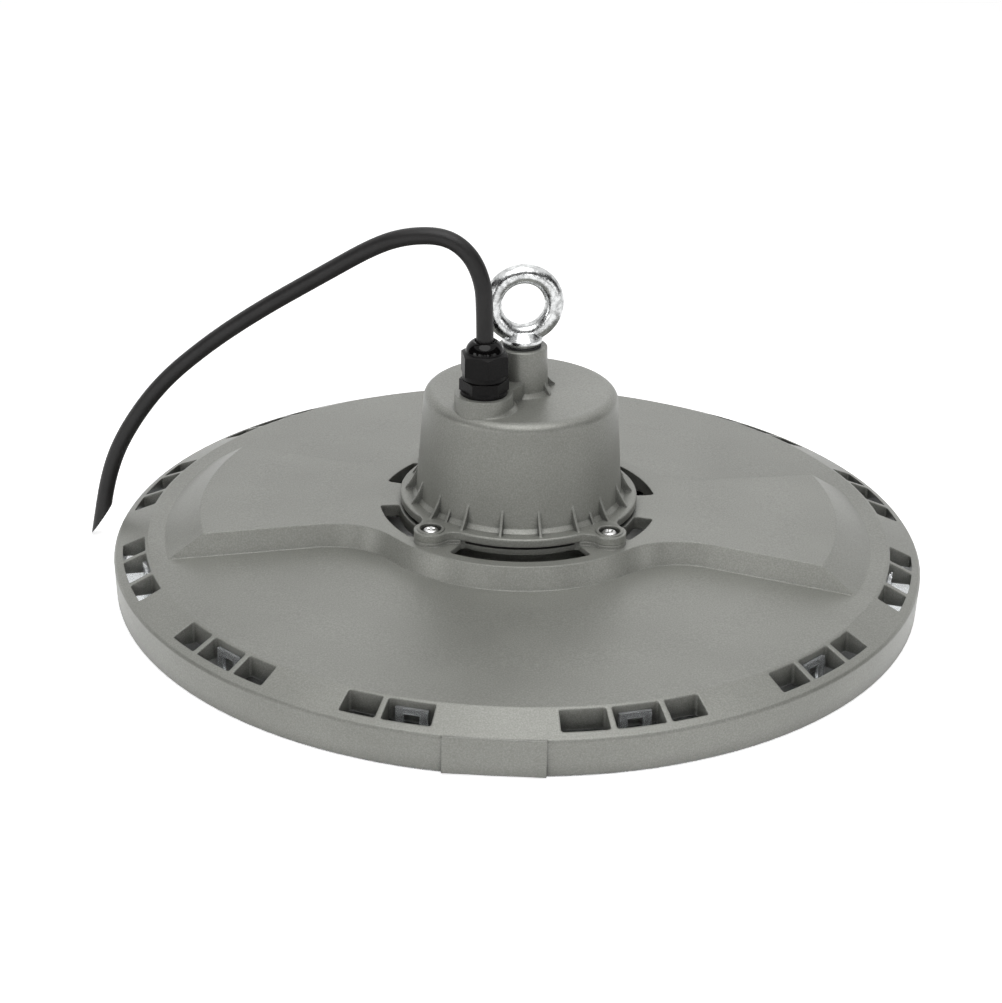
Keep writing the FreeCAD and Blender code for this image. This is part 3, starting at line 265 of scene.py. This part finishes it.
def newFinish(name, values):
    # values are the shader's own sockets, the same all over the surface
    finish = bpy.data.materials.new(name)
    finish.use_nodes = True
    shader = finish.node_tree.nodes["Principled BSDF"]
    for socket, value in values.items():
        shader.inputs[socket].default_value = value
    return finish, finish.node_tree, shader


def addNode(tree, kind, values=None, **settings):
    node = tree.nodes.new(kind)
    for key, value in settings.items():
        setattr(node, key, value)
    for socket, value in (values or {}).items():
        node.inputs[socket].default_value = value
    return node


def addNoise(tree, scale, detail=3.0, stretch=(1, 1, 1)):
    # noise on the piece's own coordinates, in features per metre
    place = addNode(tree, "ShaderNodeTexCoord")
    shape = addNode(tree, "ShaderNodeMapping", {"Scale": stretch})
    noise = addNode(tree, "ShaderNodeTexNoise", {"Scale": scale, "Detail": detail})
    tree.links.new(place.outputs["Object"], shape.inputs["Vector"])
    tree.links.new(shape.outputs["Vector"], noise.inputs["Vector"])
    return noise.outputs["Fac"]


def addRange(tree, source, low, high, start=0.3, end=0.7):
    spread = addNode(tree, "ShaderNodeMapRange", {
        "From Min": start, "From Max": end, "To Min": low, "To Max": high})
    tree.links.new(source, spread.inputs["Value"])
    return spread.outputs["Result"]


def addBlend(tree, factor, first, second):
    blend = addNode(tree, "ShaderNodeMix", data_type="RGBA")
    blend.inputs["A"].default_value = (*first, 1)
    blend.inputs["B"].default_value = (*second, 1)
    tree.links.new(factor, blend.inputs["Factor"])
    return blend.outputs["Result"]


def addBump(tree, shader, heights, rounding=0):
    # heights is a list of (source, height in metres); rounding softens sharp edges, in metres
    normal = None
    if rounding:
        soft = addNode(tree, "ShaderNodeBevel", {"Radius": rounding}, samples=6)
        normal = soft.outputs["Normal"]
    for source, height in heights:
        bump = addNode(tree, "ShaderNodeBump", {"Strength": 1.0, "Distance": height})
        tree.links.new(source, bump.inputs["Height"])
        if normal:
            tree.links.new(normal, bump.inputs["Normal"])
        normal = bump.outputs["Normal"]
    tree.links.new(normal, shader.inputs["Normal"])


coatSet = {
    "dark": (0.205, 0.207, 0.188),
    "grey": (0.262, 0.265, 0.242),
    "pale": (0.335, 0.337, 0.312),
    "metal": 0.25,
    "roughness": (0.34, 0.42),
    "cloud": 14.0,            # features per metre
    "speck": 1500.0,
    "speckStrength": 0.3,     # how far a speck may leave the cloud's tone
    "grain": 1100.0,
    "grainHeight": 0.00007,
    "rounding": 0.0011,
    "recess": 0.016,          # painted shade: how far a wall darkens the coat's colour beside it
    # darkest share of the coat's colour in the painted shade
    "paintedRecessShade": 0.22,
    "paintedShadeReach": (0.28, 0.66),    # share of open sky at which the painted shade is deepest and shallowest
}


def makeBodyCoat():
    # powder coat with fine metal flake: pale and dark specks over a slightly cloudy grey, with painted shade
    # where walls close in
    look = coatSet
    coat, tree, shader = newFinish("bodyCoat", {"Metallic": look["metal"]})
    cloudy = addRange(tree, addNoise(tree, look["cloud"], 4), 0.3, 0.7)
    speck = addRange(tree, addNoise(tree, look["speck"], 2), -look["speckStrength"], look["speckStrength"])
    tone = addNode(tree, "ShaderNodeMath", operation="ADD")
    tree.links.new(cloudy, tone.inputs[0])
    tree.links.new(speck, tone.inputs[1])
    ramp = addNode(tree, "ShaderNodeValToRGB")
    ramp.color_ramp.elements.new(0.5)
    for stop, shade in zip(ramp.color_ramp.elements, ("dark", "grey", "pale")):
        stop.color = (*look[shade], 1)
    tree.links.new(tone.outputs[0], ramp.inputs["Fac"])
    # painted shade: ambient occlusion darkens the coat's colour beside walls and deep in the vents and slots
    shadeMask = addNode(tree, "ShaderNodeAmbientOcclusion", {"Distance": look["recess"]}, samples=6)
    paintedShade = addNode(tree, "ShaderNodeMix", data_type="RGBA", blend_type="MULTIPLY")
    paintedShade.inputs["Factor"].default_value = 1
    tree.links.new(ramp.outputs["Color"], paintedShade.inputs["A"])
    tree.links.new(addRange(tree, shadeMask.outputs["AO"], look["paintedRecessShade"], 1, *look["paintedShadeReach"]),
                   paintedShade.inputs["B"])
    tree.links.new(paintedShade.outputs["Result"], shader.inputs["Base Color"])
    grain = addNoise(tree, look["grain"], 2)
    tree.links.new(addRange(tree, grain, *look["roughness"]), shader.inputs["Roughness"])
    addBump(tree, shader, [(grain, look["grainHeight"])], look["rounding"])
    return coat


zincSet = {
    "brightZinc": {"tone": (0.66, 0.67, 0.67), "roughness": (0.17, 0.33), "dimple": 420, "rounding": 0.0004},
    "screwZinc": {"tone": (0.74, 0.74, 0.73), "roughness": (0.24, 0.40), "dimple": 500,
                  "rounding": 0.0002},
    "dimpleHeight": 0.00018,
    "stain": 420,          # features per metre
    "stainReach": (0.42, 0.66),
    "stainTone": 0.6,      # share of the clean tone
}


def makeZinc(name):
    # plated steel: small dimples, with duller dark patches
    look = zincSet[name]
    zinc, tree, shader = newFinish(name, {"Metallic": 1.0})
    stain = addRange(tree, addNoise(tree, zincSet["stain"], 5), 0, 1, *zincSet["stainReach"])
    dull = tuple(part * zincSet["stainTone"] for part in look["tone"])
    tree.links.new(addBlend(tree, stain, look["tone"], dull), shader.inputs["Base Color"])
    dimples = addNoise(tree, look["dimple"], 3)
    tree.links.new(addRange(tree, dimples, *look["roughness"]), shader.inputs["Roughness"])
    addBump(tree, shader, [(dimples, zincSet["dimpleHeight"])], look["rounding"])
    return zinc


sheetSet = {
    "bright": (0.78, 0.78, 0.77),
    "dull": (0.66, 0.66, 0.66),
    "roughness": (0.28, 0.42),
    "lines": 60,
    "lineStretch": (1, 40, 1),
    "lineHeight": 0.00002,
}


def makeRolledSheet():
    # bare aluminium with fine rolling lines
    look = sheetSet
    sheet, tree, shader = newFinish("rolledSheet", {"Metallic": 1.0})
    lines = addNoise(tree, look["lines"], 6, look["lineStretch"])
    tree.links.new(addBlend(tree, addRange(tree, lines, 0, 1), look["bright"], look["dull"]),
                   shader.inputs["Base Color"])
    tree.links.new(addRange(tree, lines, *look["roughness"]), shader.inputs["Roughness"])
    addBump(tree, shader, [(lines, look["lineHeight"])])
    return sheet


mouldedSet = {    # tone, roughness, grain per metre, grain height, gloss
    "phosphor": ((0.80, 0.62, 0.12), 0.35, 900, 0.00005, 0.5),
    "sealRubber": ((0.022, 0.022, 0.022), 0.6, 900, 0.0001, 0.5),
    "sheathRubber": ((0.0080, 0.0074, 0.0074), 0.4, 1500, 0.0001, 0.34),
    "terminalPlastic": ((0.72, 0.72, 0.68), 0.4, 500, 0.0001, 0.5),
    "ferriteGrey": ((0.045, 0.045, 0.047), 0.5, 1200, 0.0002, 0.5),
    "windingTape": ((0.62, 0.44, 0.05), 0.35, 300, 0.0001, 0.5),
    "canSleeve": ((0.02, 0.03, 0.07), 0.25, 300, 0.0001, 0.5),
    "leadSheath": ((0.42, 0.42, 0.42), 0.45, 900, 0.0001, 0.5),
}
mouldedSpread = {"uneven": 90, "paler": 1.25, "lift": 0.004, "rougher": 0.12}


def makeMoulded(name):
    # plastic or rubber with a slight grain and uneven tone
    tone, roughness, grain, height, gloss = mouldedSet[name]
    moulded, tree, shader = newFinish(name, {"Specular IOR Level": gloss})
    pattern = addNoise(tree, grain, 3)
    uneven = addRange(tree, addNoise(tree, mouldedSpread["uneven"], 4), 0, 1)
    paler = tuple(min(1, part * mouldedSpread["paler"] + mouldedSpread["lift"]) for part in tone)
    tree.links.new(addBlend(tree, uneven, tone, paler), shader.inputs["Base Color"])
    tree.links.new(addRange(tree, pattern, roughness, roughness + mouldedSpread["rougher"]),
                   shader.inputs["Roughness"])
    addBump(tree, shader, [(pattern, height)])
    return moulded


clearSet = {
    "tone": (0.95, 0.97, 0.98),
    "clear": 0.84,
    "bending": 1.585,
    "roughness": (0.06, 0.14),
    "ripple": 220,
    "rippleHeight": 0.00002,
}


def makeClearPlastic():
    look = clearSet
    clear, tree, shader = newFinish("clearPlastic", {
        "Base Color": (*look["tone"], 1), "Transmission Weight": look["clear"], "IOR": look["bending"]})
    ripple = addNoise(tree, look["ripple"], 2)
    tree.links.new(addRange(tree, ripple, *look["roughness"]), shader.inputs["Roughness"])
    addBump(tree, shader, [(ripple, look["rippleHeight"])])
    return clear


boardSet = {
    "whiteBoard": {"mask": (0.80, 0.80, 0.77), "track": (0.72, 0.70, 0.62)},
    "greenBoard": {"mask": (0.02, 0.14, 0.06), "track": (0.05, 0.22, 0.09)},
    "roughness": (0.32, 0.42),
    "tracks": 90.0,
    "trackWidth": 0.06,
    "grain": 400,
}


def makeBoardMask(name):
    # solder mask with tracks that show faintly through it
    look = boardSet[name]
    mask, tree, shader = newFinish(name, {})
    place = addNode(tree, "ShaderNodeTexCoord")
    tracks = addNode(tree, "ShaderNodeTexBrick", {
        "Scale": boardSet["tracks"], "Mortar Size": boardSet["trackWidth"],
        "Color1": (*look["mask"], 1), "Color2": (*look["mask"], 1), "Mortar": (*look["track"], 1)})
    tree.links.new(place.outputs["Object"], tracks.inputs["Vector"])
    tree.links.new(tracks.outputs["Color"], shader.inputs["Base Color"])
    grain = addNoise(tree, boardSet["grain"], 2)
    tree.links.new(addRange(tree, grain, *boardSet["roughness"]), shader.inputs["Roughness"])
    return mask


nylonSet = {
    "black": (0.0030, 0.0028, 0.0029),
    "worn": (0.007, 0.006, 0.006),
    "gloss": 0.16,
    "polished": 0.08,         # roughness of the nut's dome
    "eroded": 0.42,           # roughness of the hexagons under it
    "dome": (0.1214, 0.1222),    # heights between which the finish turns from one to the other
    "grain": 1500,
    "grainHeight": 0.00012,
    "domeGrain": 0.05,        # share of the grain's height that the dome keeps
    "wornReach": (0.45, 0.75),
    "rounding": 0.0003,
}


def makeGlandNylon():
    look = nylonSet
    nylon, tree, shader = newFinish("glandNylon", {"Specular IOR Level": look["gloss"]})
    place = addNode(tree, "ShaderNodeTexCoord")
    height = addNode(tree, "ShaderNodeSeparateXYZ")
    tree.links.new(place.outputs["Object"], height.inputs["Vector"])
    tree.links.new(addRange(tree, height.outputs["Z"], look["eroded"], look["polished"], *look["dome"]),
                   shader.inputs["Roughness"])
    grain = addNoise(tree, look["grain"], 3)
    wear = addRange(tree, grain, 0, 1, *look["wornReach"])
    tree.links.new(addBlend(tree, wear, look["black"], look["worn"]), shader.inputs["Base Color"])
    rough = addRange(tree, height.outputs["Z"], 1.0, look["domeGrain"], *look["dome"])
    lift = addNode(tree, "ShaderNodeMath", operation="MULTIPLY")
    tree.links.new(grain, lift.inputs[0])
    tree.links.new(rough, lift.inputs[1])
    addBump(tree, shader, [(lift.outputs[0], look["grainHeight"])], look["rounding"])
    return nylon


finishes = {
    "body_coat": makeBodyCoat(),
    "bare_aluminium": makeRolledSheet(),
    "board_white": makeBoardMask("whiteBoard"),
    "board_green": makeBoardMask("greenBoard"),
    "led_lens": makeMoulded("phosphor"),
    "zinc": makeZinc("screwZinc"),
    "clear_lens": makeClearPlastic(),
    "seal_rubber": makeMoulded("sealRubber"),
    "bright_steel": makeZinc("brightZinc"),
    "gland_black": makeGlandNylon(),
    "cable_sheath": makeMoulded("sheathRubber"),
    "moulding_white": makeMoulded("terminalPlastic"),
    "ferrite": makeMoulded("ferriteGrey"),
    "winding_tape": makeMoulded("windingTape"),
    "can_sleeve": makeMoulded("canSleeve"),
    "lead_sheath": makeMoulded("leadSheath"),
}
for part in frame["record"]["subparts"]:
    skin = cadNodes[part["node"]].data.materials
    skin.clear()
    skin.append(finishes[part["material_slot"]])
supplyFlex.data.materials.append(finishes["cable_sheath"])
makeHousingScrews(finishes["zinc"])
print("finishes made")


studioSet = {
    "floorHalf": 2.0,
    "floorTone": 0.9,
    "floorLift": 0.74,     # what the camera and the reflections see on top of the floor's own light
    "worldShown": 1.0,     # the world as the camera and the reflections see it; it lights nothing
    "room": {"radius": 3.4, "height": 3.0, "from": -200.0, "to": 20.0, "tone": 0.03, "sides": 24},
    "paperRoughness": 0.9,
    "aim": (0, 0, 0.05),
    "lamps": [    # name, place, size, watts
        ("topSheet", (0.0, -0.5, 1.6), 1.6, 20.0),
        ("topBack", (0.0, 0.9, 1.45), 1.4, 2.0),
        ("backSheet", (0.0, 2.0, 0.9), 1.2, 0.9),
        ("leftLow", (-1.5, -0.87, 0.3), 0.6, 3.6),
        ("rightLow", (1.5, -0.87, 0.3), 0.6, 2.0),
        ("rightFrontLow", (1.2, -1.2, 0.35), 0.5, 0.72),
        ("leftFront", (-0.87, -1.5, 0.35), 0.5, 2.16),
        ("leftFrontLow", (-0.54, -1.65, 0.35), 0.4, 0.72),
        ("rightFront", (0.54, -1.65, 0.35), 0.4, 1.62),
        ("frontLow", (0.0, -1.7, 0.3), 0.5, 1.2),
    ],
}


def seenRays(tree):
    # 1 for rays from the camera, a reflection or a clear piece, 0 for the light on the object
    rays = addNode(tree, "ShaderNodeLightPath")
    either = addNode(tree, "ShaderNodeMath", operation="MAXIMUM")
    seen = addNode(tree, "ShaderNodeMath", operation="MAXIMUM")
    tree.links.new(rays.outputs["Is Camera Ray"], either.inputs[0])
    tree.links.new(rays.outputs["Is Glossy Ray"], either.inputs[1])
    tree.links.new(either.outputs[0], seen.inputs[0])
    tree.links.new(rays.outputs["Is Transmission Ray"], seen.inputs[1])
    return seen.outputs[0]


def makeFloor():
    half = studioSet["floorHalf"]
    mesh = bpy.data.meshes.new("paleFloor")
    mesh.from_pydata([(-half, -half, 0), (half, -half, 0), (half, half, 0), (-half, half, 0)], [],
                     [(0, 1, 2, 3)])
    floor = bpy.data.objects.new("paleFloor", mesh)
    bpy.context.collection.objects.link(floor)
    paper, tree, shader = newFinish("palePaper", {
        "Base Color": (*[studioSet["floorTone"]] * 3, 1), "Roughness": studioSet["paperRoughness"],
        "Specular IOR Level": 0.0})
    glow = addNode(tree, "ShaderNodeEmission")
    level = addNode(tree, "ShaderNodeMath", {1: studioSet["floorLift"]}, operation="MULTIPLY")
    both = addNode(tree, "ShaderNodeAddShader")
    tree.links.new(seenRays(tree), level.inputs[0])
    tree.links.new(level.outputs[0], glow.inputs["Strength"])
    tree.links.new(shader.outputs["BSDF"], both.inputs[0])
    tree.links.new(glow.outputs["Emission"], both.inputs[1])
    tree.links.new(both.outputs["Shader"], tree.nodes["Material Output"].inputs["Surface"])
    mesh.materials.append(paper)


def makeRoom():
    # dark studio wall in front and at the sides, which only light and reflections meet
    look = studioSet["room"]
    steps = look["sides"]
    corners = []
    for step in range(steps + 1):
        bearing = math.radians(look["from"] + (look["to"] - look["from"]) * step / steps)
        foot = (look["radius"] * math.cos(bearing), look["radius"] * math.sin(bearing))
        corners += [(*foot, 0), (*foot, look["height"])]
    mesh = bpy.data.meshes.new("darkRoom")
    mesh.from_pydata(corners, [], [(2 * n, 2 * n + 2, 2 * n + 3, 2 * n + 1) for n in range(steps)])
    room = bpy.data.objects.new("darkRoom", mesh)
    bpy.context.collection.objects.link(room)
    paint, tree, shader = newFinish("roomPaint", {
        "Base Color": (*[look["tone"]] * 3, 1), "Roughness": studioSet["paperRoughness"]})
    mesh.materials.append(paint)
    room.visible_camera = False


def makeLamps():
    for name, place, size, watts in studioSet["lamps"]:
        lamp = bpy.data.lights.new(name, "AREA")
        lamp.shape = "DISK"
        lamp.size = size
        lamp.energy = watts
        stand = bpy.data.objects.new(name, lamp)
        bpy.context.collection.objects.link(stand)
        stand.location = place
        toward = Vector(studioSet["aim"]) - Vector(place)
        stand.rotation_euler = toward.to_track_quat("-Z", "Y").to_euler()


def makeWorld():
    world = bpy.data.worlds.new("studioWorld")
    world.use_nodes = True
    bpy.context.scene.world = world
    tree = world.node_tree
    backdrop = tree.nodes["Background"]
    backdrop.inputs["Color"].default_value = (1, 1, 1, 1)
    level = addNode(tree, "ShaderNodeMath", {1: studioSet["worldShown"]}, operation="MULTIPLY")
    tree.links.new(seenRays(tree), level.inputs[0])
    tree.links.new(level.outputs[0], backdrop.inputs["Strength"])


makeFloor()
makeRoom()
makeLamps()
makeWorld()
bpy.context.scene.view_settings.view_transform = "Standard"
print("studio ready")
